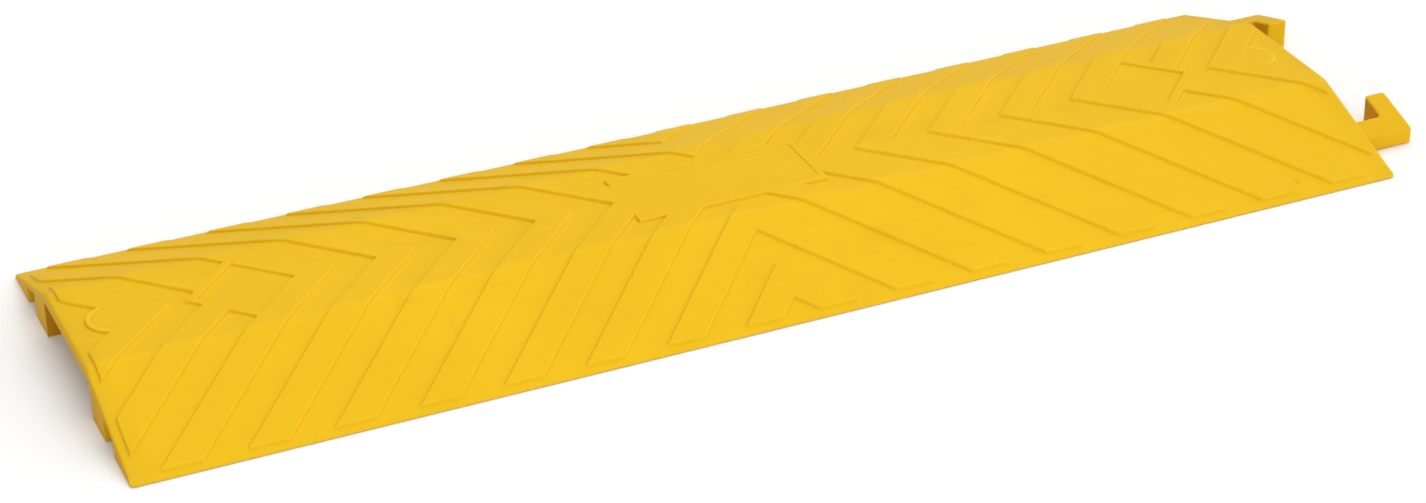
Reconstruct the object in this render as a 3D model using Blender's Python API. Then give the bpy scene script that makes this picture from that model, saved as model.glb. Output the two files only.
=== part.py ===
# Drop-over cable protector ramp: a moulded deck with chevron tread, two hook connectors, their screws and
# inserts, and grip pads under the ramps. Metres, +Z up, X along the ramp, hooks at the +X end.
import math

import bmesh
import bpy
from mathutils import Matrix, Vector

for old in list(bpy.data.objects):
    bpy.data.objects.remove(old, do_unlink=True)

# ---- deck
LENGTH = 0.914
WIDTH = 0.286
CROWN_HALF = 0.0504
CROWN_Z = 0.0356
NOSE_Z = 0.0018
UNDER_Z = 0.0005
END_ROUND = 0.0025
CORNER_R = 0.0028
# ---- tread
BAR_H = 0.0020
BAR_WALL = 0.0009
PITCH = 0.05655
BAR_RUN = 0.0278
FIRST_APEX = -0.41617
LEAN = 0.9685
BARS = 10
SIDE_LINE = 0.1377
END_LINE = 0.4508
PLATE_X = 0.0703
PLATE_Y = 0.0315
PLATE_IN_X = 0.0656
PLATE_IN_Y = 0.0250
PLATE_SINK = 0.28
PANEL_BAR = 2
PANEL_OUT = -0.3772
PANEL_RIM = -0.3690
PANEL_IN = -0.3677
PANEL_DEPTH = 0.85
BOSS_X = 0.4255
BOSS_R = 0.0175
# ---- channel, slots and posts
CHANNEL_HALF = 0.0555
CHANNEL_Z = 0.0275
SLOT_IN = 0.0848
SLOT_OUT = 0.1052
POST_DEPTH = 0.0238
POCKET_DEPTH = 0.0185
POCKET_IN = 0.0590
# ---- hooks
HOOK_REACH = 0.0405
LIP_T = 0.0162
LIP_TIP = 0.0645
TONGUE_IN = 0.0855
TONGUE_OUT = 0.1040
HOOK_EDGE_Z = 0.0108
HOOK_RISE = 0.31
HOOK_GAP = 0.0003
SEAT_GAP = 0.0003
ROOT_LEN = 0.056
ROOT_IN = 0.0660
ROOT_Z = 0.0080
# ---- fasteners
SCREW_Y = 0.0790
SCREW_X = (0.4140, 0.4420)
SCREW_R = 0.0030
HEAD_R = 0.0058
HEAD_CONE = 0.0030
SCREW_TIP = 0.0185
INSERT_R = 0.0044
INSERT_TOP = 0.0190
# ---- grip pads
PAD_X = (-0.330, 0.0, 0.330)
PAD_Y = 0.1240
PAD_L = 0.096
PAD_W = 0.020
PAD_T = 0.0019
# ---- the whole part is centred on its own length, hooks included
SHIFT = -HOOK_REACH / 2

HALF_L = LENGTH / 2
HALF_W = WIDTH / 2
STRETCH = math.hypot(1.0, LEAN)
HALF_WALL = BAR_WALL / 2
HALF_RUN = HALF_WALL * STRETCH

root = bpy.data.objects.new("ramp_root", None)
root.location = (SHIFT, 0.0, 0.0)
bpy.context.scene.collection.objects.link(root)


def material(name, colour, rough, metal=0.0):
    mat = bpy.data.materials.new(name)
    mat.use_nodes = True
    shader = mat.node_tree.nodes["Principled BSDF"]
    shader.inputs["Base Color"].default_value = (*colour, 1.0)
    shader.inputs["Roughness"].default_value = rough
    shader.inputs["Metallic"].default_value = metal
    return mat


YELLOW = material("ramp_yellow", (0.83, 0.52, 0.03), 0.45)
HOOK_YELLOW = material("hook_yellow", (0.80, 0.49, 0.03), 0.45)
STEEL = material("zinc_steel", (0.62, 0.62, 0.60), 0.35, 1.0)
BRASS = material("insert_brass", (0.72, 0.55, 0.25), 0.35, 1.0)
RUBBER = material("pad_rubber", (0.03, 0.03, 0.03), 0.8)


def add_object(name, bm, mat, helper=False):
    bmesh.ops.recalc_face_normals(bm, faces=bm.faces[:])
    mesh = bpy.data.meshes.new(name)
    bm.to_mesh(mesh)
    bm.free()
    obj = bpy.data.objects.new(name, mesh)
    bpy.context.scene.collection.objects.link(obj)
    obj.parent = root
    if mat:
        mesh.materials.append(mat)
    if helper:
        obj.hide_render = True
        obj.display_type = "WIRE"
    return obj


def cut(obj, cutter, operation="DIFFERENCE"):
    mod = obj.modifiers.new(cutter.name, "BOOLEAN")
    mod.operation = operation
    mod.solver = "EXACT"
    mod.object = cutter


def smooth(obj, angle=40.0):
    for poly in obj.data.polygons:
        poly.use_smooth = True
    bpy.context.view_layer.objects.active = obj
    obj.select_set(True)
    bpy.ops.object.shade_smooth_by_angle(angle=math.radians(angle))
    obj.select_set(False)


def clamp(value):
    return max(0.0, min(1.0, value))


def slope_z(y):
    a = abs(y)
    if a <= CROWN_HALF:
        return CROWN_Z
    return NOSE_Z + (CROWN_Z - NOSE_Z) * (HALF_W - a) / (HALF_W - CROWN_HALF)


def apex(k):
    return FIRST_APEX + k * PITCH


def relief(x, y):
    """Height of the tread over the plain deck, from 0 to 1, at a point in plan."""
    x = -abs(x)
    a = abs(y)
    plate = min(PLATE_X + x, PLATE_Y - a)
    inner = min(PLATE_IN_X + x, PLATE_IN_Y - a)
    s = x + LEAN * a
    q = x - LEAN * a
    edge = min(x + END_LINE, SIDE_LINE - a)
    best = clamp((plate + HALF_WALL) / BAR_WALL)
    for k in range(BARS):
        inside = min(s - apex(k), apex(k) + BAR_RUN - s) / STRETCH
        best = max(best, clamp((min(inside, edge) + HALF_WALL) / BAR_WALL))
    border = apex(PANEL_BAR) + HALF_RUN
    if s < border:
        rim = clamp((q - PANEL_OUT + HALF_RUN) / (2 * HALF_RUN))
        sunk = min(clamp((q - PANEL_RIM) / (PANEL_IN - PANEL_RIM)), clamp((border - s) / (2 * HALF_RUN)))
        if q > PANEL_RIM:
            best = 1.0 - PANEL_DEPTH * sunk
        else:
            best = max(best, rim)
    if inner > -HALF_WALL:
        best = 1.0 - PLATE_SINK * clamp((inner + HALF_WALL) / BAR_WALL)
    return best


def end_drop(x, z):
    near = HALF_L - abs(x)
    if near >= END_ROUND:
        return 0.0
    fall = END_ROUND - math.sqrt(max(0.0, END_ROUND**2 - (END_ROUND - near) ** 2))
    return fall * clamp((z - UNDER_Z - 0.0008) / 0.012)


def bisect(bm, point, normal, keep=None):
    faces = [f for f in bm.faces if keep is None or keep(f.calc_center_median())]
    edges = {e for f in faces for e in f.edges}
    verts = {v for f in faces for v in f.verts}
    geom = list(verts) + list(edges) + faces
    bmesh.ops.bisect_plane(bm, geom=geom, dist=1e-6, plane_co=point, plane_no=normal)


def deck_quadrant():
    """The plan of the tread over -X, -Y, cut along every edge that the tread and the slopes need."""
    bm = bmesh.new()
    corners = [(-HALF_L, -HALF_W), (0, -HALF_W), (0, 0), (-HALF_L, 0)]
    bm.faces.new([bm.verts.new((x, y, 0.0)) for x, y in corners])
    for t in (0.16, 0.5, 1.0):
        bisect(bm, (t * END_ROUND - HALF_L, 0, 0), (1, 0, 0))
    for y in (CROWN_HALF, SIDE_LINE - HALF_WALL, SIDE_LINE + HALF_WALL):
        bisect(bm, (0, -y, 0), (0, 1, 0))
    inner = lambda c: c.x > END_ROUND - HALF_L and c.y > -SIDE_LINE - HALF_WALL
    bisect(bm, (-END_LINE - HALF_WALL, 0, 0), (1, 0, 0), inner)
    bisect(bm, (HALF_WALL - END_LINE, 0, 0), (1, 0, 0), inner)
    for k in range(BARS):
        for s in (-HALF_RUN, HALF_RUN, BAR_RUN - HALF_RUN, BAR_RUN + HALF_RUN):
            bisect(bm, (apex(k) + s, 0, 0), (1, -LEAN, 0), inner)
    over = lambda c: c.x - LEAN * c.y < apex(PANEL_BAR) + HALF_RUN and c.y > -0.048 and c.x > -0.40
    for q in (PANEL_OUT - HALF_RUN, PANEL_OUT + HALF_RUN, PANEL_RIM, PANEL_IN):
        bisect(bm, (q, 0, 0), (1, LEAN, 0), over)
    for wide, deep in ((PLATE_X, PLATE_Y), (PLATE_IN_X, PLATE_IN_Y)):
        for t in (-HALF_WALL, HALF_WALL):
            bisect(bm, (t - wide, 0, 0), (1, 0, 0), lambda c: c.y > -PLATE_Y - 0.002)
            bisect(bm, (0, t - deep, 0), (0, 1, 0), lambda c: c.x > -PLATE_X - 0.002)
    for i in range(1, 4):
        t = math.pi / 2 * i / 4
        out = Vector((-math.cos(t), -math.sin(t), 0.0))
        spot = Vector((CORNER_R - HALF_L, CORNER_R - HALF_W, 0.0)) + out * CORNER_R
        bmesh.ops.bisect_plane(bm, geom=bm.verts[:] + bm.edges[:] + bm.faces[:], dist=1e-6, plane_co=spot, plane_no=out, clear_outer=True)
    return bm


def deck_mesh():
    bm = deck_quadrant()
    for axis in (0, 1):
        copy = bmesh.ops.duplicate(bm, geom=bm.verts[:] + bm.edges[:] + bm.faces[:])
        for v in copy["geom"]:
            if isinstance(v, bmesh.types.BMVert):
                v.co[axis] = -v.co[axis]
        bmesh.ops.remove_doubles(bm, verts=bm.verts[:], dist=1e-6)
    for v in bm.verts:
        z = slope_z(v.co.y)
        v.co.z = z + BAR_H * relief(v.co.x, v.co.y) - end_drop(v.co.x, z)
    rim = [e for e in bm.edges if len(e.link_faces) == 1]
    down = bmesh.ops.extrude_edge_only(bm, edges=rim)["geom"]
    low = [v for v in down if isinstance(v, bmesh.types.BMVert)]
    for v in low:
        v.co.z = UNDER_Z
    bmesh.ops.contextual_create(bm, geom=[e for e in bm.edges if len(e.link_faces) == 1])
    return bm


def prism(bm, outline, low, high):
    """A closed solid over a plan outline; low and high give its two z values at a point."""
    bottom = [bm.verts.new((x, y, low(x, y))) for x, y in outline]
    top = [bm.verts.new((x, y, high(x, y))) for x, y in outline]
    bm.faces.new(bottom[::-1])
    bm.faces.new(top)
    n = len(outline)
    for i in range(n):
        j = (i + 1) % n
        bm.faces.new((bottom[i], bottom[j], top[j], top[i]))


def flat(z):
    return lambda x, y: z


def rounded(points, radii, steps=4):
    """A plan outline with each corner rounded by its own radius."""
    out = []
    n = len(points)
    for i in range(n):
        p = Vector(points[i])
        a = (Vector(points[i - 1]) - p).normalized()
        b = (Vector(points[(i + 1) % n]) - p).normalized()
        r = radii[i] if isinstance(radii, (list, tuple)) else radii
        if r <= 0:
            out.append((p.x, p.y))
            continue
        half = a.angle(b) / 2
        reach = r / math.tan(half)
        centre = p + (a + b).normalized() * (r / math.sin(half))
        first, last = p + a * reach - centre, p + b * reach - centre
        turn = math.atan2(first.x * last.y - first.y * last.x, first.dot(last))
        for t in range(steps + 1):
            angle = turn * t / steps
            v = Matrix.Rotation(angle, 2) @ first
            out.append((centre.x + v.x, centre.y + v.y))
    return out


def rect(x0, x1, y0, y1):
    return [(x0, y0), (x1, y0), (x1, y1), (x0, y1)]


def mirrored(outline, side):
    return [(x, y * side) for x, y in outline]


def hook_top(x, y):
    return HOOK_EDGE_Z + HOOK_RISE * (TONGUE_OUT - abs(y))


def pocket_roof(x, y):
    return hook_top(x, y) + 0.0012


def tube(bm, x, y, r, z0, z1, r2=None, n=32):
    made = bmesh.ops.create_cone(
        bm, cap_ends=True, segments=n, radius1=r, radius2=r if r2 is None else r2, depth=z1 - z0,
        matrix=Matrix.Translation((x, y, (z0 + z1) / 2)),
    )
    return made


# ---- the deck and what is cut into it
deck = add_object("ramp_deck", deck_mesh(), YELLOW)

bm = bmesh.new()
for side in (-1, 1):
    tube(bm, side * BOSS_X, 0.0, BOSS_R, CROWN_Z - 0.004, CROWN_Z + BAR_H - 0.0002, BOSS_R - 0.0009, 40)
cut(deck, add_object("boss_pair", bm, None, True), "UNION")

bm = bmesh.new()
r = 0.004
steps = 5
half = [(-CHANNEL_HALF, -0.01), (CHANNEL_HALF, -0.01)]
arch = [(CHANNEL_HALF - r + r * math.cos(t * math.pi / 2 / steps), CHANNEL_Z - r + r * math.sin(t * math.pi / 2 / steps)) for t in range(steps + 1)]
section = half + arch + [(-y, z) for y, z in arch[::-1]]
ends = [[bm.verts.new((x, y, z)) for y, z in section] for x in (-HALF_L - 0.02, HALF_L + 0.02)]
bm.faces.new(ends[0])
bm.faces.new(ends[1][::-1])
for i in range(len(section)):
    j = (i + 1) % len(section)
    bm.faces.new((ends[0][i], ends[1][i], ends[1][j], ends[0][j]))
for side in (-1, 1):
    back = POST_DEPTH + POCKET_DEPTH - HALF_L
    post = POST_DEPTH - HALF_L
    plan = [(-HALF_L - 0.01, SLOT_IN), (post, SLOT_IN), (post, POCKET_IN), (back, POCKET_IN), (back, SLOT_OUT), (-HALF_L - 0.01, SLOT_OUT)]
    prism(bm, mirrored(rounded(plan, [0, 0.003, 0.003, 0.004, 0.006, 0]), side), flat(-0.01), pocket_roof)
    x0 = HALF_L - ROOT_LEN - SEAT_GAP
    plan = [(x0, ROOT_IN - SEAT_GAP), (HALF_L + 0.01, ROOT_IN - SEAT_GAP), (HALF_L + 0.01, TONGUE_OUT + SEAT_GAP), (x0, TONGUE_OUT + SEAT_GAP)]
    prism(bm, mirrored(rounded(plan, [0.005, 0, 0, 0.005]), side), flat(-0.01), flat(ROOT_Z + SEAT_GAP))
    for x in PAD_X:
        plan = rect(x - PAD_L / 2 - SEAT_GAP, x + PAD_L / 2 + SEAT_GAP, PAD_Y - PAD_W / 2 - SEAT_GAP, PAD_Y + PAD_W / 2 + SEAT_GAP)
        prism(bm, mirrored(rounded(plan, 0.005 + SEAT_GAP), side), flat(-0.01), flat(PAD_T + SEAT_GAP))
cut(deck, add_object("underside_cuts", bm, None, True))

bm = bmesh.new()
for side in (-1, 1):
    for x in SCREW_X:
        tube(bm, x, side * SCREW_Y, INSERT_R + SEAT_GAP, ROOT_Z - 0.003, INSERT_TOP + 0.0006)
cut(deck, add_object("insert_bores", bm, None, True))
smooth(deck, 30.0)

# ---- hook connectors: a flat root plate under the deck, a tongue, and a lip turned towards the channel
for side, word in ((-1, "front"), (1, "rear")):
    bm = bmesh.new()
    x0, x1 = HALF_L + HOOK_GAP, HALF_L + HOOK_REACH
    lip = x1 - LIP_T
    plan = [(x0, TONGUE_IN), (lip, TONGUE_IN), (lip, LIP_TIP), (x1, LIP_TIP), (x1, TONGUE_OUT), (x0, TONGUE_OUT)]
    plan = rounded(plan, [0, 0.0028, 0.002, 0.003, 0.004, 0])
    prism(bm, mirrored(plan, side), flat(UNDER_Z), hook_top)
    hook = add_object("hook_connector_" + word, bm, HOOK_YELLOW)
    bm = bmesh.new()
    plan = [(HALF_L - ROOT_LEN, ROOT_IN), (HALF_L - 0.0004, ROOT_IN), (HALF_L - 0.0004, TONGUE_IN + 0.0008), (x0 + 0.004, TONGUE_IN + 0.0008), (x0 + 0.004, TONGUE_OUT - 0.0008), (HALF_L - ROOT_LEN, TONGUE_OUT - 0.0008)]
    prism(bm, mirrored(rounded(plan, [0.005, 0.004, 0, 0, 0, 0.005]), side), flat(UNDER_Z + 0.0002), flat(ROOT_Z))
    cut(hook, add_object("root_plate_" + word, bm, None, True), "UNION")
    bm = bmesh.new()
    for x in SCREW_X:
        tube(bm, x, side * SCREW_Y, SCREW_R + SEAT_GAP, -0.01, ROOT_Z + 0.01)
    cut(hook, add_object("screw_holes_" + word, bm, None, True))
    bm = bmesh.new()
    for x in SCREW_X:
        top = UNDER_Z + 0.0008 + HEAD_CONE + SEAT_GAP
        wide = HEAD_R + SEAT_GAP + 0.0006
        tube(bm, x, side * SCREW_Y, wide + 0.0014, -0.0009, top, SCREW_R + SEAT_GAP + 0.0001)
    cut(hook, add_object("countersinks_" + word, bm, None, True))
    smooth(hook, 35.0)

    for i, x in enumerate(SCREW_X, 1):
        y = side * SCREW_Y
        low = UNDER_Z + 0.0008
        bm = bmesh.new()
        rings = [
            (HEAD_R, low), (HEAD_R, low + 0.0004), (SCREW_R, low + HEAD_CONE), (SCREW_R, SCREW_TIP - 0.001), (SCREW_R - 0.0008, SCREW_TIP),
        ]
        n = 32
        socket = 0.0020
        loops = []
        for radius, z in rings:
            loops.append([bm.verts.new((x + radius * math.cos(2 * math.pi * t / n), y + radius * math.sin(2 * math.pi * t / n), z)) for t in range(n)])
        for a, b in zip(loops, loops[1:]):
            for t in range(n):
                u = (t + 1) % n
                bm.faces.new((a[t], a[u], b[u], b[t]))
        bm.faces.new(loops[-1])
        bm.faces.new(loops[0][::-1])
        screw = add_object("hook_screw_%s_%d" % (word, i), bm, STEEL)
        bm = bmesh.new()
        tube(bm, x, y, socket * 1.155, low - 0.001, low + 0.0018, n=6)
        cut(screw, add_object("hex_socket_%s_%d" % (word, i), bm, None, True))
        smooth(screw, 35.0)

        bm = bmesh.new()
        low, high = ROOT_Z + 0.0009, INSERT_TOP
        rings = [(SCREW_R + SEAT_GAP, low), (INSERT_R - 0.0004, low), (INSERT_R, low + 0.0005), (INSERT_R, low + 0.0036), (INSERT_R - 0.0006, low + 0.0040), (INSERT_R - 0.0006, low + 0.0058), (INSERT_R, low + 0.0062), (INSERT_R, high - 0.0006), (INSERT_R - 0.0005, high), (SCREW_R + SEAT_GAP, high)]
        loops = []
        for radius, z in rings:
            loops.append([bm.verts.new((x + radius * math.cos(2 * math.pi * t / n), y + radius * math.sin(2 * math.pi * t / n), z)) for t in range(n)])
        for a, b in zip(loops, loops[1:] + loops[:1]):
            for t in range(n):
                u = (t + 1) % n
                bm.faces.new((a[t], a[u], b[u], b[t]))
        smooth(add_object("insert_%s_%d" % (word, i), bm, BRASS), 35.0)

    for i, x in enumerate(PAD_X, 1):
        bm = bmesh.new()
        plan = rounded(rect(x - PAD_L / 2, x + PAD_L / 2, PAD_Y - PAD_W / 2, PAD_Y + PAD_W / 2), 0.005, 5)
        prism(bm, mirrored(plan, side), flat(0.0), flat(PAD_T))
        pad = add_object("grip_pad_%s_%d" % (word, i), bm, RUBBER)
        smooth(pad, 35.0)
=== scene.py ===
# Looks of the drop-over cable protector ramp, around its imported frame. Metres, +Z up, hooks at the +X end.
import math

import bmesh
import bpy
from mathutils import Matrix, Vector


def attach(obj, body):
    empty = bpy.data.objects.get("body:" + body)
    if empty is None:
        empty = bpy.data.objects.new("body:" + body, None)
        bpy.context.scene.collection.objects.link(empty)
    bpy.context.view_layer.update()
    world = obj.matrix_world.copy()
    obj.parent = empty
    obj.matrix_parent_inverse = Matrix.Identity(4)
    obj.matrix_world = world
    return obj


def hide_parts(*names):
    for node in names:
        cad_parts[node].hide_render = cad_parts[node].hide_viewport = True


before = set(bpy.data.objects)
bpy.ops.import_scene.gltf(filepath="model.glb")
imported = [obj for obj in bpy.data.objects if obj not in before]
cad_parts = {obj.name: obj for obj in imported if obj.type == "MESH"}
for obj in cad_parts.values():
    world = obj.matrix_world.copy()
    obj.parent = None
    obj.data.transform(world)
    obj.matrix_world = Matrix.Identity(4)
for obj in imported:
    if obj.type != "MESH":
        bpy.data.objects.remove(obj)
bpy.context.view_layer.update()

scene = bpy.context.scene

# ------------------------------------------------------------------ sizes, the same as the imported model's
LENGTH = 0.914
WIDTH = 0.286
CROWN_HALF = 0.0504
CROWN_Z = 0.0356
NOSE_Z = 0.0018
UNDER_Z = 0.0005
END_ROUND = 0.0025
CORNER_R = 0.0028
BAR_H = 0.0020
PITCH = 0.05655
BAR_RUN = 0.0278
FIRST_APEX = -0.41617
LEAN = 0.9685
BARS = 10
SIDE_LINE = 0.1377
END_LINE = 0.4508
PLATE_X = 0.0703
PLATE_Y = 0.0315
PLATE_IN_X = 0.0656
PLATE_IN_Y = 0.0250
PLATE_SINK = 0.28
PANEL_BAR = 2
PANEL_OUT = -0.3772
PANEL_RIM = -0.3690
PANEL_IN = -0.3677
PANEL_DEPTH = 0.85
BOSS_X = 0.4255
BOSS_R = 0.0175
CHANNEL_HALF = 0.0555
CHANNEL_Z = 0.0275
SLOT_IN = 0.0848
SLOT_OUT = 0.1052
POST_DEPTH = 0.0238
POCKET_DEPTH = 0.0185
POCKET_IN = 0.0590
HOOK_REACH = 0.0405
LIP_T = 0.0162
LIP_TIP = 0.0645
TONGUE_IN = 0.0855
TONGUE_OUT = 0.1040
HOOK_EDGE_Z = 0.0108
HOOK_RISE = 0.31
HOOK_GAP = 0.0003
SEAT_GAP = 0.0003
ROOT_LEN = 0.056
ROOT_IN = 0.0660
ROOT_Z = 0.0080
SCREW_Y = 0.0790
SCREW_X = (0.4140, 0.4420)
SCREW_R = 0.0030
HEAD_R = 0.0058
HEAD_CONE = 0.0030
INSERT_R = 0.0044
INSERT_TOP = 0.0190
PAD_X = (-0.330, 0.0, 0.330)
PAD_Y = 0.1240
PAD_L = 0.096
PAD_W = 0.020
PAD_T = 0.0019
GROOVES = 13
GROOVE_PITCH = 0.0066
GROOVE_W = 0.0020
GROOVE_DEEP = 0.0007
DIMPLE_X = 0.3835
DIMPLE_Y = -0.1290
DIMPLE_R = 0.0033
DIMPLE_DEEP = 0.0011
SHIFT = -HOOK_REACH / 2

HALF_L = LENGTH / 2
HALF_W = WIDTH / 2
STRETCH = math.hypot(1.0, LEAN)
# a tread bar's edge: a small fillet at its foot, a drafted wall across its line, and a round top inside it
FOOT = 0.00062
WALL_LOW = 0.00044
WALL_HIGH = 0.00014
TOP = 0.00094
FOOT_H = 0.06
WALL_H = 0.66
EDGE = 0.00106
EDGE_STEPS = (-0.00072, -FOOT, -0.00053, -WALL_LOW, WALL_HIGH, 0.00023, 0.00036, 0.00052, 0.00072, TOP, EDGE)
SINK_STEPS = (-0.00022, -0.00016, -0.00008, 0.0, 0.00008, 0.00016, 0.00022)
CORNER_K = 0.00036
CROWN_BEND = 0.004
PANEL_MID = (PANEL_RIM + PANEL_IN) / 2


# ------------------------------------------------------------------ helpers
def link(name, mesh):
    obj = bpy.data.objects.new(name, mesh)
    scene.collection.objects.link(obj)
    return obj


def from_bm(name, bm, shift=True):
    bmesh.ops.recalc_face_normals(bm, faces=bm.faces[:])
    mesh = bpy.data.meshes.new(name)
    if shift:
        bmesh.ops.translate(bm, verts=bm.verts[:], vec=(SHIFT, 0.0, 0.0))
    bm.to_mesh(mesh)
    bm.free()
    return link(name, mesh)


def apply(obj):
    """Replaces the mesh by what its modifiers make of it."""
    bpy.context.view_layer.update()
    graph = bpy.context.evaluated_depsgraph_get()
    mesh = bpy.data.meshes.new_from_object(obj.evaluated_get(graph))
    obj.modifiers.clear()
    old = obj.data
    obj.data = mesh
    bpy.data.meshes.remove(old)


def boolean(obj, other, operation="DIFFERENCE"):
    """Applies one Boolean to the mesh itself and removes the tool."""
    mod = obj.modifiers.new("bool", "BOOLEAN")
    mod.operation = operation
    mod.solver = "EXACT"
    mod.object = other
    apply(obj)
    data = other.data
    bpy.data.objects.remove(other, do_unlink=True)
    bpy.data.meshes.remove(data)


def smooth(obj, angle, crease=None):
    """Smooth shading, with sharp edges where two faces turn more than the angle or the crease test says so."""
    bm = bmesh.new()
    bm.from_mesh(obj.data)
    limit = math.radians(angle)
    for face in bm.faces:
        face.smooth = True
    for edge in bm.edges:
        edge.smooth = len(edge.link_faces) == 2 and edge.calc_face_angle(0.0) < limit and not (crease and crease(edge))
    bm.to_mesh(obj.data)
    bm.free()
    obj.modifiers.new("weighted", "WEIGHTED_NORMAL").keep_sharp = True
    apply(obj)


def mark_wear_dust_highlight_and_shade(obj, amount):
    """Stores how worn each point is, where its faces turn outwards, a mark that also serves as a painted highlight
    along convex edges, and how dusty, where they turn inwards, a mark that also serves as painted shade in the creases.
    A point beside a broad face or on the underside has neither."""
    bm = bmesh.new()
    bm.from_mesh(obj.data)
    broad = {f: f.calc_area() > 0.002 * max(e.calc_length() for e in f.edges) for f in bm.faces}
    wear_and_highlight, dust_and_shade = [], []
    for v in bm.verts:
        turn = [e.calc_face_angle_signed(0.0) for e in v.link_edges if len(e.link_faces) == 2]
        bare = not turn or v.normal.z < -0.2 or any(broad[f] for f in v.link_faces)
        wear_and_highlight.append(0.0 if bare else clamp(max(turn) / amount))
        dust_and_shade.append(0.0 if bare else clamp(-min(turn) / amount))
    bm.free()
    for name, values in (("wear_and_highlight", wear_and_highlight), ("dust_and_shade", dust_and_shade)):
        layer = obj.data.attributes.new(name, "FLOAT", "POINT")
        layer.data.foreach_set("value", values)


def clamp(value):
    return max(0.0, min(1.0, value))


def step(t):
    t = clamp(t)
    return t * t * (3.0 - 2.0 * t)


def soft_min(a, b, k):
    h = max(k - abs(a - b), 0.0) / k
    return min(a, b) - h * h * k * 0.25


def rise(d):
    """Tread height, 0 to 1, at a distance inside a bar's line."""
    if d <= -FOOT:
        return 0.0
    if d < -WALL_LOW:
        return FOOT_H * ((d + FOOT) / (FOOT - WALL_LOW)) ** 2
    if d < WALL_HIGH:
        return FOOT_H + (WALL_H - FOOT_H) * (d + WALL_LOW) / (WALL_HIGH + WALL_LOW)
    if d < TOP:
        return 1.0 - (1.0 - WALL_H) * ((TOP - d) / (TOP - WALL_HIGH)) ** 2
    return 1.0


def slope_z(y):
    a = abs(y)
    line = NOSE_Z + (CROWN_Z - NOSE_Z) * (HALF_W - a) / (HALF_W - CROWN_HALF)
    return soft_min(CROWN_Z, line, CROWN_BEND * 0.36)


def apex(k):
    return FIRST_APEX + k * PITCH


def relief(x, y):
    x = -abs(x)
    a = abs(y)
    plate = soft_min(PLATE_X + x, PLATE_Y - a, CORNER_K)
    inner = soft_min(PLATE_IN_X + x, PLATE_IN_Y - a, CORNER_K)
    s = x + LEAN * a
    q = x - LEAN * a
    edge = soft_min(x + END_LINE, SIDE_LINE - a, CORNER_K)
    best = rise(plate)
    for k in range(BARS):
        inside = min(s - apex(k), apex(k) + BAR_RUN - s) / STRETCH
        if inside > -FOOT:
            best = max(best, rise(soft_min(inside, edge, CORNER_K)))
    if s < apex(PANEL_BAR) + BAR_RUN / 2:
        strip = rise(soft_min(q - PANEL_OUT, PANEL_MID - q, CORNER_K) / STRETCH)
        if q > (PANEL_OUT + PANEL_MID) / 2:
            best = max(strip, rise((s - apex(PANEL_BAR)) / STRETCH), 1.0 - PANEL_DEPTH)
        elif s < apex(PANEL_BAR):
            best = max(best, strip)
    if inner > SINK_STEPS[0]:
        best = 1.0 - PLATE_SINK * step((inner - SINK_STEPS[1]) / (SINK_STEPS[5] - SINK_STEPS[1]))
    return best


def end_drop(x, z):
    near = HALF_L - abs(x)
    if near >= END_ROUND:
        return 0.0
    fall = END_ROUND - math.sqrt(max(0.0, END_ROUND**2 - (END_ROUND - near) ** 2))
    return fall * clamp((z - UNDER_Z - 0.0008) / 0.012)


def bisect(bm, point, normal, keep=None):
    faces = [f for f in bm.faces if keep is None or keep(f.calc_center_median())]
    edges = {e for f in faces for e in f.edges}
    verts = {v for f in faces for v in f.verts}
    bmesh.ops.bisect_plane(bm, geom=list(verts) + list(edges) + faces, dist=1e-6, plane_co=point, plane_no=normal)


# ------------------------------------------------------------------ deck
def deck_quadrant():
    """The plan of the tread over -X, -Y, cut along every edge that the tread and the slopes need."""
    bm = bmesh.new()
    corners = [(-HALF_L, -HALF_W), (0, -HALF_W), (0, 0), (-HALF_L, 0)]
    bm.faces.new([bm.verts.new((x, y, 0.0)) for x, y in corners])
    for t in (0.03, 0.09, 0.19, 0.33, 0.5, 0.7, 1.0):
        bisect(bm, (t * END_ROUND - HALF_L, 0, 0), (1, 0, 0))
    bends = [CROWN_HALF + CROWN_BEND * t for t in (-1.0, -0.7, -0.4, -0.13, 0.13, 0.4, 0.7, 1.0)]
    for y in bends:
        bisect(bm, (0, -y, 0), (0, 1, 0))
    for t in EDGE_STEPS:
        bisect(bm, (0, t - SIDE_LINE, 0), (0, 1, 0))
    inner = lambda c: c.x > END_ROUND - HALF_L and c.y > EDGE_STEPS[0] - SIDE_LINE
    for t in EDGE_STEPS:
        bisect(bm, (t - END_LINE, 0, 0), (1, 0, 0), inner)
    for k in range(BARS):
        for base, way in ((0.0, 1), (BAR_RUN, -1)):
            for t in EDGE_STEPS:
                bisect(bm, (apex(k) + base + way * t * STRETCH, 0, 0), (1, -LEAN, 0), inner)
    border = apex(PANEL_BAR) + EDGE * STRETCH
    over = lambda c: c.x - LEAN * c.y < border and c.y > -0.048 and c.x > -0.40
    for q, way in ((PANEL_OUT, 1), (PANEL_MID, -1)):
        for t in EDGE_STEPS:
            bisect(bm, (q + way * t * STRETCH, 0, 0), (1, LEAN, 0), over)
    for wide, deep, steps in ((PLATE_X, PLATE_Y, EDGE_STEPS), (PLATE_IN_X, PLATE_IN_Y, SINK_STEPS)):
        for t in steps:
            bisect(bm, (t - wide, 0, 0), (1, 0, 0), lambda c: c.y > -PLATE_Y - 0.002)
            bisect(bm, (0, t - deep, 0), (0, 1, 0), lambda c: c.x > -PLATE_X - 0.002)
    for i in range(1, 9):
        t = math.pi / 2 * i / 9
        out = Vector((-math.cos(t), -math.sin(t), 0.0))
        spot = Vector((CORNER_R - HALF_L, CORNER_R - HALF_W, 0.0)) + out * CORNER_R
        bmesh.ops.bisect_plane(bm, geom=bm.verts[:] + bm.edges[:] + bm.faces[:], dist=1e-6, plane_co=spot, plane_no=out, clear_outer=True)
    return bm


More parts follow.
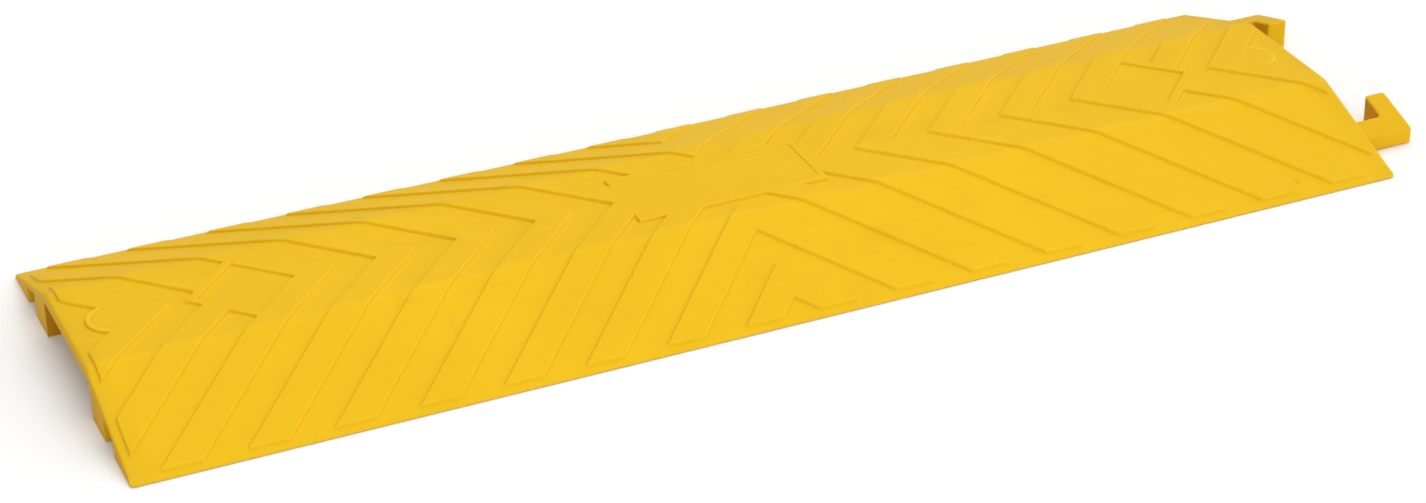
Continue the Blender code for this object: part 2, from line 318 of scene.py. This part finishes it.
def deck_mesh():
    bm = deck_quadrant()
    for axis in (0, 1):
        copy = bmesh.ops.duplicate(bm, geom=bm.verts[:] + bm.edges[:] + bm.faces[:])
        for v in copy["geom"]:
            if isinstance(v, bmesh.types.BMVert):
                v.co[axis] = -v.co[axis]
        bmesh.ops.remove_doubles(bm, verts=bm.verts[:], dist=1e-6)
    for v in bm.verts:
        z = slope_z(v.co.y)
        v.co.z = z + BAR_H * relief(v.co.x, v.co.y) - end_drop(v.co.x, z)
    rim = [e for e in bm.edges if len(e.link_faces) == 1]
    down = bmesh.ops.extrude_edge_only(bm, edges=rim)["geom"]
    for v in down:
        if isinstance(v, bmesh.types.BMVert):
            v.co.z = UNDER_Z
    bmesh.ops.contextual_create(bm, geom=[e for e in bm.edges if len(e.link_faces) == 1])
    return bm


def prism(bm, outline, low, high):
    bottom = [bm.verts.new((x, y, low(x, y))) for x, y in outline]
    top = [bm.verts.new((x, y, high(x, y))) for x, y in outline]
    faces = [bm.faces.new(bottom[::-1]), bm.faces.new(top)]
    n = len(outline)
    for i in range(n):
        j = (i + 1) % n
        faces.append(bm.faces.new((bottom[i], bottom[j], top[j], top[i])))
    return faces


def flat(z):
    return lambda x, y: z


def rounded(points, radii, steps=6):
    out = []
    n = len(points)
    for i in range(n):
        p = Vector(points[i])
        a = (Vector(points[i - 1]) - p).normalized()
        b = (Vector(points[(i + 1) % n]) - p).normalized()
        r = radii[i] if isinstance(radii, (list, tuple)) else radii
        if r <= 0:
            out.append((p.x, p.y))
            continue
        half = a.angle(b) / 2
        reach = r / math.tan(half)
        centre = p + (a + b).normalized() * (r / math.sin(half))
        first, last = p + a * reach - centre, p + b * reach - centre
        turn = math.atan2(first.x * last.y - first.y * last.x, first.dot(last))
        for t in range(steps + 1):
            v = Matrix.Rotation(turn * t / steps, 2) @ first
            out.append((centre.x + v.x, centre.y + v.y))
    return out


def rect(x0, x1, y0, y1):
    return [(x0, y0), (x1, y0), (x1, y1), (x0, y1)]


def mirrored(outline, side):
    return [(x, y * side) for x, y in outline]


def hook_top(x, y):
    return HOOK_EDGE_Z + HOOK_RISE * (TONGUE_OUT - abs(y))


def lathe(bm, x, y, rings, n=48):
    """A closed solid of rings of (radius, z), capped at both ends."""
    loops = []
    for radius, z in rings:
        loops.append([bm.verts.new((x + radius * math.cos(2 * math.pi * t / n), y + radius * math.sin(2 * math.pi * t / n), z)) for t in range(n)])
    for a, b in zip(loops, loops[1:]):
        for t in range(n):
            u = (t + 1) % n
            bm.faces.new((a[t], a[u], b[u], b[t]))
    bm.faces.new(loops[0][::-1])
    bm.faces.new(loops[-1])


def arc_rings(radius, top, r, steps=5):
    """The rounded top rim of a disc, as rings from its side to its top face."""
    return [(radius - r + r * math.cos(t * math.pi / 2 / steps), top - r + r * math.sin(t * math.pi / 2 / steps)) for t in range(steps + 1)]


def build_deck():
    deck = from_bm("deck_skin", deck_mesh())
    bm = bmesh.new()
    top = CROWN_Z + BAR_H - 0.0002
    for side in (-1, 1):
        rings = [(BOSS_R + 0.0004, CROWN_Z - 0.004), (BOSS_R + 0.0004, CROWN_Z - 0.0001)]
        rings += arc_rings(BOSS_R, top, 0.0010)
        r = BOSS_R - 0.0042
        rings += [(r + 0.0008, top), (r + 0.0003, top - 0.0003), (r - 0.0003, top - 0.0003), (r - 0.0008, top)]
        lathe(bm, side * BOSS_X, 0.0, rings, 72)
    boolean(deck, from_bm("boss_pair", bm), "UNION")

    bm = bmesh.new()
    r, steps = 0.004, 6
    arch = [(CHANNEL_HALF - r + r * math.cos(t * math.pi / 2 / steps), CHANNEL_Z - r + r * math.sin(t * math.pi / 2 / steps)) for t in range(steps + 1)]
    section = [(-CHANNEL_HALF, -0.01), (CHANNEL_HALF, -0.01)] + arch + [(-y, z) for y, z in arch[::-1]]
    ends = [[bm.verts.new((x, y, z)) for y, z in section] for x in (-HALF_L - 0.02, HALF_L + 0.02)]
    bm.faces.new(ends[0])
    bm.faces.new(ends[1][::-1])
    for i in range(len(section)):
        j = (i + 1) % len(section)
        bm.faces.new((ends[0][i], ends[1][i], ends[1][j], ends[0][j]))
    roof = lambda x, y: hook_top(x, y) + 0.0012
    for side in (-1, 1):
        back = POST_DEPTH + POCKET_DEPTH - HALF_L
        post = POST_DEPTH - HALF_L
        plan = [(-HALF_L - 0.01, SLOT_IN), (post, SLOT_IN), (post, POCKET_IN), (back, POCKET_IN), (back, SLOT_OUT), (-HALF_L - 0.01, SLOT_OUT)]
        prism(bm, mirrored(rounded(plan, [0, 0.003, 0.003, 0.004, 0.006, 0]), side), flat(-0.01), roof)
        x0 = HALF_L - ROOT_LEN - SEAT_GAP
        plan = [(x0, ROOT_IN - SEAT_GAP), (HALF_L + 0.01, ROOT_IN - SEAT_GAP), (HALF_L + 0.01, TONGUE_OUT + SEAT_GAP), (x0, TONGUE_OUT + SEAT_GAP)]
        prism(bm, mirrored(rounded(plan, [0.005, 0, 0, 0.005]), side), flat(-0.01), flat(ROOT_Z + SEAT_GAP))
        for x in PAD_X:
            plan = rect(x - PAD_L / 2 - SEAT_GAP, x + PAD_L / 2 + SEAT_GAP, PAD_Y - PAD_W / 2 - SEAT_GAP, PAD_Y + PAD_W / 2 + SEAT_GAP)
            prism(bm, mirrored(rounded(plan, 0.005 + SEAT_GAP), side), flat(-0.01), flat(PAD_T + SEAT_GAP))
    boolean(deck, from_bm("underside", bm))

    bm = bmesh.new()
    for side in (-1, 1):
        for x in SCREW_X:
            r = INSERT_R + SEAT_GAP
            lathe(bm, x, side * SCREW_Y, [(r, ROOT_Z - 0.003), (r, INSERT_TOP + 0.0006)], 32)
    boolean(deck, from_bm("bores", bm))
    bm = bmesh.new()
    ball = (DIMPLE_R**2 + DIMPLE_DEEP**2) / (2 * DIMPLE_DEEP)
    fall = (CROWN_Z - NOSE_Z) / (HALF_W - CROWN_HALF)
    out = Vector((0.0, -fall, 1.0)).normalized()
    spot = Vector((DIMPLE_X, DIMPLE_Y, slope_z(DIMPLE_Y))) + out * (ball - DIMPLE_DEEP)
    bmesh.ops.create_uvsphere(bm, u_segments=96, v_segments=96, radius=ball, matrix=Matrix.Translation(spot))
    boolean(deck, from_bm("dimple", bm))
    rim = lambda e: all(abs(math.hypot(v.co.x - SHIFT - DIMPLE_X, (v.co.y - DIMPLE_Y) / out.z) - DIMPLE_R) < 0.0001 for v in e.verts)
    smooth(deck, 38.0, rim)
    mark_wear_dust_highlight_and_shade(deck, 0.30)
    return deck


# ------------------------------------------------------------------ hooks
def build_hook(side, word):
    x0, x1 = HALF_L + HOOK_GAP, HALF_L + HOOK_REACH
    lip = x1 - LIP_T
    plan = [(x0, TONGUE_IN), (lip, TONGUE_IN), (lip, LIP_TIP), (x1, LIP_TIP), (x1, TONGUE_OUT), (x0, TONGUE_OUT)]
    plan = mirrored(rounded(plan, [0, 0.0028, 0.002, 0.003, 0.004, 0], 6), side)
    bm = bmesh.new()
    faces = prism(bm, plan, flat(UNDER_Z), hook_top)
    bmesh.ops.recalc_face_normals(bm, faces=bm.faces[:])
    rim = []
    for face in faces[:2]:
        for edge in face.edges:
            if not all(abs(v.co.x - x0) < 1e-6 for v in edge.verts):
                rim.append(edge)
    top_rim = [e for e in rim if all(v.co.z > UNDER_Z + 0.002 for v in e.verts)]
    low_rim = [e for e in rim if e not in top_rim]
    bmesh.ops.bevel(bm, geom=top_rim, offset=0.0024, offset_type="OFFSET", segments=5, profile=0.5, affect="EDGES", clamp_overlap=True)
    low_rim = [e for e in bm.edges if e.is_valid and len(e.link_faces) == 2 and all(abs(v.co.z - UNDER_Z) < 1e-6 for v in e.verts) and not all(abs(v.co.x - x0) < 1e-6 for v in e.verts)]
    bmesh.ops.bevel(bm, geom=low_rim, offset=0.0006, offset_type="OFFSET", segments=2, profile=0.5, affect="EDGES", clamp_overlap=True)
    hook = from_bm("hook_" + word, bm)
    bm = bmesh.new()
    plan = [(HALF_L - ROOT_LEN, ROOT_IN), (HALF_L - 0.0004, ROOT_IN), (HALF_L - 0.0004, TONGUE_IN + 0.0008), (x0 + 0.004, TONGUE_IN + 0.0008), (x0 + 0.004, TONGUE_OUT - 0.0008), (HALF_L - ROOT_LEN, TONGUE_OUT - 0.0008)]
    prism(bm, mirrored(rounded(plan, [0.005, 0.004, 0, 0, 0, 0.005]), side), flat(UNDER_Z + 0.0002), flat(ROOT_Z))
    boolean(hook, from_bm("root_" + word, bm), "UNION")
    bm = bmesh.new()
    for x in SCREW_X:
        r = SCREW_R + SEAT_GAP
        lathe(bm, x, side * SCREW_Y, [(r, -0.01), (r, ROOT_Z + 0.01)], 40)
    boolean(hook, from_bm("holes_" + word, bm))
    bm = bmesh.new()
    for x in SCREW_X:
        top = UNDER_Z + 0.0008 + HEAD_CONE + SEAT_GAP
        lathe(bm, x, side * SCREW_Y, [(HEAD_R + SEAT_GAP + 0.0020, -0.0009), (SCREW_R + SEAT_GAP + 0.0001, top)], 40)
    boolean(hook, from_bm("sinks_" + word, bm))
    smooth(hook, 38.0)
    mark_wear_dust_highlight_and_shade(hook, 0.40)
    return hook


# ------------------------------------------------------------------ grip pads
def build_pad(side, x, name):
    """A rubber pad with soft edges and shallow grooves across the face that grips the ground."""
    bm = bmesh.new()
    y0, y1 = PAD_Y - PAD_W / 2, PAD_Y + PAD_W / 2
    prism(bm, mirrored(rounded(rect(x - PAD_L / 2, x + PAD_L / 2, y0, y1), 0.005, 8), side), flat(0.0), flat(PAD_T))
    bmesh.ops.recalc_face_normals(bm, faces=bm.faces[:])
    for z, size in ((0.0, 0.0005), (PAD_T, 0.0003)):
        rim = [e for e in bm.edges if all(abs(v.co.z - z) < 1e-6 for v in e.verts)]
        bmesh.ops.bevel(bm, geom=rim, offset=size, offset_type="OFFSET", segments=3, profile=0.5, affect="EDGES", clamp_overlap=True)
    pad = from_bm(name, bm)
    bm = bmesh.new()
    for i in range(GROOVES):
        g = x + (i - (GROOVES - 1) / 2) * GROOVE_PITCH
        plan = rounded(rect(g - GROOVE_W / 2, g + GROOVE_W / 2, y0 + 0.0025, y1 - 0.0025), GROOVE_W * 0.45, 5)
        prism(bm, mirrored(plan, side), flat(-0.001), flat(GROOVE_DEEP))
    boolean(pad, from_bm("grooves", bm))
    smooth(pad, 38.0)
    return pad


# ------------------------------------------------------------------ materials
class Nodes:
    def __init__(self, name):
        self.mat = bpy.data.materials.new(name)
        self.mat.use_nodes = True
        self.tree = self.mat.node_tree
        self.shader = self.tree.nodes["Principled BSDF"]
        geo = self.tree.nodes.new("ShaderNodeTexCoord")
        self.coord = geo.outputs["Object"]

    def new(self, kind, **values):
        node = self.tree.nodes.new(kind)
        for key, value in values.items():
            setattr(node, key, value)
        return node

    def link(self, a, b):
        self.tree.links.new(a, b)

    def solid_normal(self):
        return self.tree.nodes["Texture Coordinate"].outputs["Normal"]

    def noise(self, scale, detail=4.0, rough=0.55, vector=None, stretch=None):
        source = vector or self.coord
        if stretch:
            mapping = self.new("ShaderNodeMapping")
            mapping.inputs["Scale"].default_value = stretch
            self.link(source, mapping.inputs["Vector"])
            source = mapping.outputs["Vector"]
        node = self.new("ShaderNodeTexNoise")
        node.inputs["Scale"].default_value = scale
        node.inputs["Detail"].default_value = detail
        node.inputs["Roughness"].default_value = rough
        self.link(source, node.inputs["Vector"])
        return node.outputs["Fac"]

    def ramp(self, value, stops):
        node = self.new("ShaderNodeValToRGB")
        ramp = node.color_ramp
        while len(ramp.elements) < len(stops):
            ramp.elements.new(0.5)
        for element, (pos, colour) in zip(ramp.elements, stops):
            element.position = pos
            element.color = colour if len(colour) == 4 else (*colour, 1.0)
        self.link(value, node.inputs["Fac"])
        return node.outputs["Color"]

    def mix(self, factor, a, b, blend="MIX"):
        node = self.new("ShaderNodeMix", data_type="RGBA", blend_type=blend)
        for value, socket in ((factor, node.inputs[0]), (a, node.inputs[6]), (b, node.inputs[7])):
            if isinstance(value, bpy.types.NodeSocket):
                self.link(value, socket)
            elif isinstance(value, tuple):
                socket.default_value = (*value, 1.0)
            else:
                socket.default_value = value
        return node.outputs[2]

    def span(self, value, low, high, lo=0.0, hi=1.0):
        node = self.new("ShaderNodeMapRange")
        node.inputs["From Min"].default_value = lo
        node.inputs["From Max"].default_value = hi
        node.inputs["To Min"].default_value = low
        node.inputs["To Max"].default_value = high
        self.link(value, node.inputs["Value"])
        return node.outputs["Result"]

    def math(self, op, a, b):
        node = self.new("ShaderNodeMath", operation=op)
        for value, socket in ((a, node.inputs[0]), (b, node.inputs[1])):
            if isinstance(value, bpy.types.NodeSocket):
                self.link(value, socket)
            else:
                socket.default_value = value
        return node.outputs["Value"]

    def bump(self, height, strength, distance, normal=None):
        node = self.new("ShaderNodeBump")
        node.inputs["Strength"].default_value = strength
        node.inputs["Distance"].default_value = distance
        self.link(height, node.inputs["Height"])
        if normal:
            self.link(normal, node.inputs["Normal"])
        return node.outputs["Normal"]


def polyurethane(name, base, shade, deck_only):
    """Cast safety-yellow polyurethane: cloudy tint, faint smudges, fine scuffs, rubbed edges that also serve as a
    painted highlight, crease dust that also serves as painted shade, painted shade on the end faces, the underside and
    (on the deck) the channel walls, and a satin skin.
    """
    n = Nodes(name)
    cloud = n.noise(9.0, 5.0, 0.6)
    smudge = n.noise(34.0, 6.0, 0.65, stretch=(1.0, 1.6, 1.0))
    grain = n.noise(1400.0, 3.0, 0.6)
    scuff = n.noise(60.0, 8.0, 0.7, stretch=(0.35, 3.2, 1.0))
    chip = n.noise(210.0, 5.0, 0.65)
    tint = n.ramp(cloud, [(0.30, shade), (0.68, base)])
    dirt = n.ramp(smudge, [(0.52, (0, 0, 0)), (0.78, (1, 1, 1))])
    dull = tuple(c * k for c, k in zip(base, (0.92, 0.92, 1.3)))
    colour = n.mix(n.math("MULTIPLY", dirt, 0.55), tint, dull)
    facing = n.new("ShaderNodeSeparateXYZ")
    n.link(n.solid_normal(), facing.inputs["Vector"])
    place = n.new("ShaderNodeSeparateXYZ")
    n.link(n.coord, place.inputs["Vector"])
    # painted shade: faces turned along X (on the deck only the outermost end faces) and faces turned downwards get a
    # darker, browner colour in place of the shade that falls on them
    ends = n.span(n.math("ABSOLUTE", facing.outputs["X"], 0.0), 0.0, 1.0, 0.80, 0.97)
    if deck_only:
        along = n.math("ABSOLUTE", n.math("SUBTRACT", place.outputs["X"], SHIFT), 0.0)
        ends = n.math("MULTIPLY", ends, n.span(along, 0.0, 1.0, HALF_L - 0.0010, HALF_L - 0.0004))
    shaded_underside = n.span(facing.outputs["Z"], 1.0, 0.0, -0.75, -0.35)
    painted_end_and_underside_shade = n.math("MULTIPLY", n.math("MAXIMUM", ends, shaded_underside), n.span(cloud, 0.75, 1.0, 0.3, 0.7))
    if deck_only:
        soil = n.noise(17.0, 3.0, 0.5, stretch=(1.0, 1.7, 1.0))
        patch = n.math("MULTIPLY", n.ramp(soil, [(0.58, (0, 0, 0)), (0.74, (1, 1, 1))]), 0.85)
        outer = n.span(along, 0.0, 0.65, 0.22, 0.43)
        colour = n.mix(n.math("MAXIMUM", patch, outer), colour, tuple(c * k for c, k in zip(base, (0.935, 0.940, 1.3))))
        margin = n.math("MULTIPLY", n.span(along, 0.0, 0.75, HALF_L - 0.020, HALF_L - 0.002), n.span(smudge, 0.5, 1.0, 0.3, 0.7))
        colour = n.mix(margin, colour, tuple(c * k for c, k in zip(base, (0.86, 0.84, 1.7))))
    # mixes in the painted shade on the end faces and the underside
    colour = n.mix(painted_end_and_underside_shade, colour, tuple(c * k for c, k in zip(base, (0.80, 0.72, 1.6))))
    # painted shade: the side walls inside the channel under the deck get a darker, browner colour in place of the
    # shadow deep inside it
    if deck_only:
        across = n.math("ABSOLUTE", place.outputs["Y"], 0.0)
        within = n.math("MULTIPLY", n.span(across, 1.0, 0.0, CHANNEL_HALF + 0.0004, CHANNEL_HALF + 0.0012), n.span(place.outputs["Z"], 1.0, 0.0, CHANNEL_Z + 0.0004, CHANNEL_Z + 0.0012))
        painted_channel_wall_shade = n.math("MULTIPLY", within, n.span(n.math("ABSOLUTE", facing.outputs["Y"], 0.0), 0.0, 1.0, 0.4, 0.8))
        colour = n.mix(painted_channel_wall_shade, colour, tuple(c * k for c, k in zip(base, (0.66, 0.50, 0.7))))
    rub = n.ramp(scuff, [(0.60, (0, 0, 0)), (0.78, (1, 1, 1))])
    pale = tuple(min(1.0, c * 1.05 + 0.015) for c in base)
    colour = n.mix(n.math("MULTIPLY", rub, 0.40), colour, pale)
    # darker, greyer creases at the feet of the bars: partly dust, partly painted shade where the creases fall in shadow
    dust_and_shade = n.new("ShaderNodeAttribute")
    dust_and_shade.attribute_name = "dust_and_shade"
    dusty_and_shaded = n.math("MULTIPLY", dust_and_shade.outputs["Fac"], n.span(smudge, 0.12, 0.50, 0.35, 0.65))
    colour = n.mix(dusty_and_shaded, colour, tuple(c * k for c, k in zip(base, (0.84, 0.85, 3.5))))
    # rubbed edges, paler and greener: partly real wear, partly a painted highlight along the convex edges of the bars
    # and hooks
    wear_and_highlight = n.new("ShaderNodeAttribute")
    wear_and_highlight.attribute_name = "wear_and_highlight"
    worn_and_highlit = n.math("MULTIPLY", wear_and_highlight.outputs["Fac"], n.span(chip, 0.15, 0.75, 0.35, 0.65))
    if deck_only:
        worn_and_highlit = n.math("MULTIPLY", worn_and_highlit, n.span(along, 1.0, 0.35, HALF_L - 0.0040, HALF_L - 0.0020))
    colour = n.mix(worn_and_highlit, colour, tuple(min(1.0, c * k + 0.025) for c, k in zip(base, (1.02, 1.13, 1.0))))
    n.link(colour, n.shader.inputs["Base Color"])
    rough = n.math("ADD", n.span(smudge, 0.52, 0.66), n.math("MULTIPLY", rub, 0.06))
    n.link(rough, n.shader.inputs["Roughness"])
    low = n.bump(cloud, 0.10, 0.0010)
    mid = n.bump(smudge, 0.08, 0.0004, low)
    n.link(n.bump(grain, 0.10, 0.00006, mid), n.shader.inputs["Normal"])
    n.shader.inputs["IOR"].default_value = 1.47
    n.shader.inputs["Specular IOR Level"].default_value = 0.11
    return n.mat


def zinc(name):
    n = Nodes(name)
    turn = n.noise(260.0, 5.0, 0.6)
    n.link(n.ramp(turn, [(0.3, (0.50, 0.51, 0.50)), (0.7, (0.70, 0.70, 0.67))]), n.shader.inputs["Base Color"])
    n.link(n.span(turn, 0.24, 0.44), n.shader.inputs["Roughness"])
    n.link(n.bump(n.noise(1600.0, 3.0), 0.12, 0.00005), n.shader.inputs["Normal"])
    n.shader.inputs["Metallic"].default_value = 1.0
    return n.mat


def brass(name):
    n = Nodes(name)
    turn = n.noise(420.0, 4.0, 0.6)
    n.link(n.ramp(turn, [(0.3, (0.60, 0.43, 0.17)), (0.7, (0.78, 0.60, 0.28))]), n.shader.inputs["Base Color"])
    n.link(n.span(turn, 0.26, 0.45), n.shader.inputs["Roughness"])
    n.link(n.bump(turn, 0.10, 0.00008), n.shader.inputs["Normal"])
    n.shader.inputs["Metallic"].default_value = 1.0
    return n.mat


def rubber(name):
    n = Nodes(name)
    cloud = n.noise(70.0, 5.0, 0.6)
    grain = n.noise(1800.0, 3.0, 0.7)
    n.link(n.ramp(cloud, [(0.3, (0.020, 0.020, 0.021)), (0.75, (0.045, 0.044, 0.042))]), n.shader.inputs["Base Color"])
    n.link(n.span(cloud, 0.72, 0.90), n.shader.inputs["Roughness"])
    n.link(n.bump(grain, 0.25, 0.00008), n.shader.inputs["Normal"])
    n.shader.inputs["Specular IOR Level"].default_value = 0.3
    return n.mat


YELLOW = polyurethane("deck_polyurethane", (0.860, 0.518, 0.005), (0.818, 0.490, 0.0048), True)
HOOK_YELLOW = polyurethane("hook_polyurethane", (0.785, 0.455, 0.004), (0.765, 0.44, 0.0035), False)
ZINC = zinc("zinc_screw")
BRASS = brass("brass_insert")
RUBBER = rubber("rubber_pad")


def dress(obj, mat):
    obj.data.materials.clear()
    obj.data.materials.append(mat)


# ------------------------------------------------------------------ pieces
deck = build_deck()
dress(deck, YELLOW)
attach(deck, "root")
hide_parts("ramp_deck")

for side, word in ((-1, "front"), (1, "rear")):
    hook = build_hook(side, word)
    dress(hook, HOOK_YELLOW)
    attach(hook, "root")
    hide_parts("hook_connector_" + word)
    for i, x in enumerate(PAD_X, 1):
        pad = build_pad(side, x, "pad_%s_%d" % (word, i))
        dress(pad, RUBBER)
        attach(pad, "root")
        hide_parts("grip_pad_%s_%d" % (word, i))

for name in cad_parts:
    node = bpy.data.objects.get(name)
    if node is None:
        continue
    for prefix, mat in (("hook_screw", ZINC), ("insert", BRASS)):
        if name.startswith(prefix):
            dress(node, mat)

# ------------------------------------------------------------------ floor, light and camera
bm = bmesh.new()
bmesh.ops.create_grid(bm, x_segments=1, y_segments=1, size=6.0)
floor = from_bm("floor", bm, False)
floor_mat = bpy.data.materials.new("pale_floor")
floor_mat.use_nodes = True
pale = floor_mat.node_tree.nodes["Principled BSDF"]
pale.inputs["Base Color"].default_value = (0.975, 0.975, 0.975, 1.0)
pale.inputs["Roughness"].default_value = 0.9
pale.inputs["Specular IOR Level"].default_value = 0.1
floor.data.materials.append(floor_mat)

world = bpy.data.worlds.new("studio")
scene.world = world
world.use_nodes = True
sky = world.node_tree
sky.nodes["Background"].inputs["Color"].default_value = (1.0, 1.0, 1.0, 1.0)
way = sky.nodes.new("ShaderNodeTexCoord")
side = sky.nodes.new("ShaderNodeVectorMath")
side.operation = "DOT_PRODUCT"
side.inputs[1].default_value = (-0.50, 0.866, 0.0)
shade = sky.nodes.new("ShaderNodeMapRange")
shade.interpolation_type = "SMOOTHSTEP"
for name, value in (("From Min", 0.0), ("From Max", 0.90), ("To Min", 0.955), ("To Max", 0.06)):
    shade.inputs[name].default_value = value
sky.links.new(way.outputs["Generated"], side.inputs[0])
sky.links.new(side.outputs["Value"], shade.inputs["Value"])
sky.links.new(shade.outputs["Result"], sky.nodes["Background"].inputs["Strength"])


def soft_sun(name, azimuth, elevation, strength, spread, colour=(1.0, 1.0, 1.0)):
    """A wide, even studio light from a direction: azimuth from +X towards +Y, in degrees."""
    data = bpy.data.lights.new(name, "SUN")
    data.energy = strength
    data.angle = math.radians(spread)
    data.color = colour
    obj = bpy.data.objects.new(name, data)
    az, el = math.radians(azimuth), math.radians(elevation)
    toward = Vector((math.cos(az) * math.cos(el), math.sin(az) * math.cos(el), math.sin(el)))
    obj.rotation_euler = (-toward).to_track_quat("-Z", "Y").to_euler()
    obj.location = toward * 3.0
    scene.collection.objects.link(obj)
    return obj


soft_sun("key", -84.0, 12.0, 0.40, 40.0)
soft_sun("back", 70.0, 53.0, 1.08, 60.0)

# the photograph's view, fitted: focal length in pixels of a 1426-pixel-wide frame, place in the deck's own frame
FOCAL_PX = 3508.75
EYE = Vector((-0.842605 + SHIFT, -1.932690, 1.187213))
AZIMUTH = math.radians(23.46245)
ELEVATION = math.radians(29.79397)
ROLL = math.radians(-1.12812)
look = Vector((math.sin(AZIMUTH) * math.cos(ELEVATION), math.cos(AZIMUTH) * math.cos(ELEVATION), -math.sin(ELEVATION)))
level = look.cross(Vector((0, 0, 1))).normalized()
rise_dir = level.cross(look)
right = level * math.cos(ROLL) + rise_dir * math.sin(ROLL)
up = right.cross(look)
camera_data = bpy.data.cameras.new("camera")
camera_data.sensor_fit = "HORIZONTAL"
camera_data.sensor_width = 36.0
camera_data.lens = 36.0 * FOCAL_PX / 1426.0
camera_data.clip_start = 0.05
camera = bpy.data.objects.new("camera", camera_data)
turn = Matrix((right, up, -look)).transposed().to_4x4()
camera.matrix_world = Matrix.Translation(EYE) @ turn
scene.collection.objects.link(camera)
scene.camera = camera

scene.view_settings.view_transform = "Standard"
scene.view_settings.look = "None"
scene.view_settings.exposure = 0.0
scene.view_settings.gamma = 1.0

bpy.context.view_layer.update()
